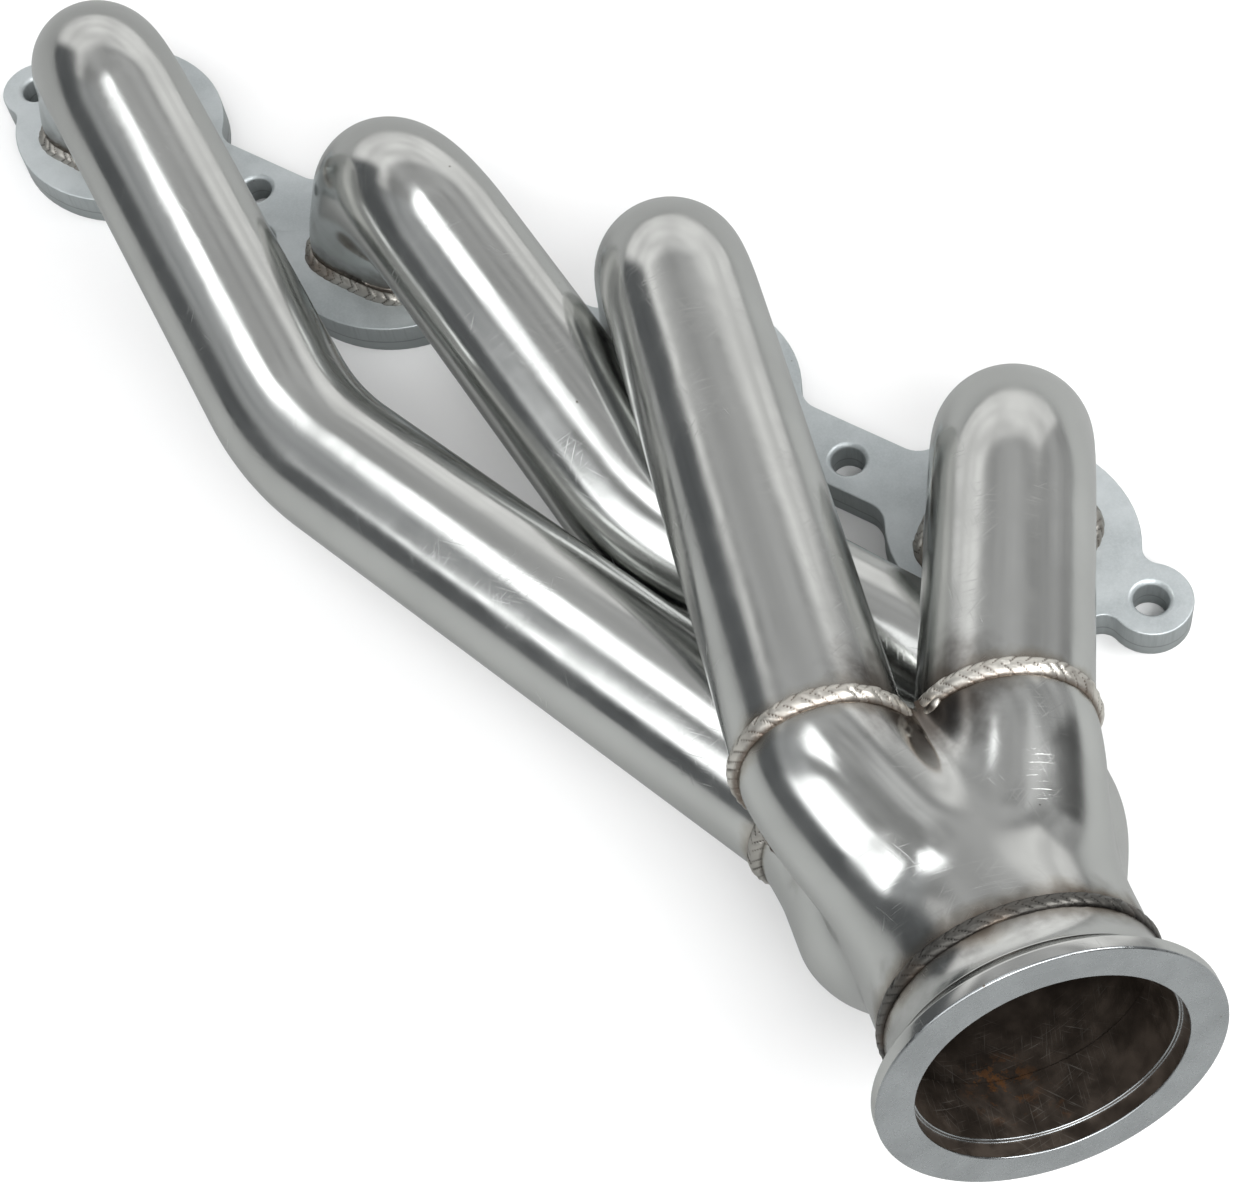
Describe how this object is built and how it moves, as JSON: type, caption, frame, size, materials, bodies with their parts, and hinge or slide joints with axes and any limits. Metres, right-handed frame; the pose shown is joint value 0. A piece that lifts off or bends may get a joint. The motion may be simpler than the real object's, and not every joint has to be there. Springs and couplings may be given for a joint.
{
  "type": "exhaust manifold",
  "caption": "Welded tubular exhaust manifold: flat head flange, swept polished tubes, merge collector and clamp-ring outlet.",
  "frame": {"origin": "centre of the gasket face, midway between the two middle ports, on the line of the ports", "axes": "+X along the row of ports toward the outlet end, +Z away from the cylinder head, -Y toward the side the tubes sweep to"},
  "size_m": [0.5078, 0.2304, 0.1381],
  "materials": {
    "flange_plate": "satin zinc-coated plate",
    "polished_tube": "mirror-polished stainless tube",
    "collector_shell": "mirror-polished stainless collector",
    "outlet_ring": "turned stainless ring with a bright flat face",
    "weld_bead": "dull weld bead with heat tint"
  },
  "bodies": {
    "root": {"head_flange": "flange_plate", "tube_1": "polished_tube", "tube_2": "polished_tube", "tube_3": "polished_tube", "tube_4": "polished_tube", "port_weld_1": "weld_bead", "port_weld_2": "weld_bead", "port_weld_3": "weld_bead", "port_weld_4": "weld_bead", "collector_leg_1": "collector_shell", "collector_leg_2": "collector_shell", "collector_leg_3": "collector_shell", "collector_leg_4": "collector_shell", "collector_weld_1": "weld_bead", "collector_weld_2": "weld_bead", "collector_weld_3": "weld_bead", "collector_weld_4": "weld_bead", "corner_weld_34": "weld_bead", "corner_weld_13": "weld_bead", "outlet_weld": "weld_bead", "vband_flange": "outlet_ring"}
  },
  "joints": []
}
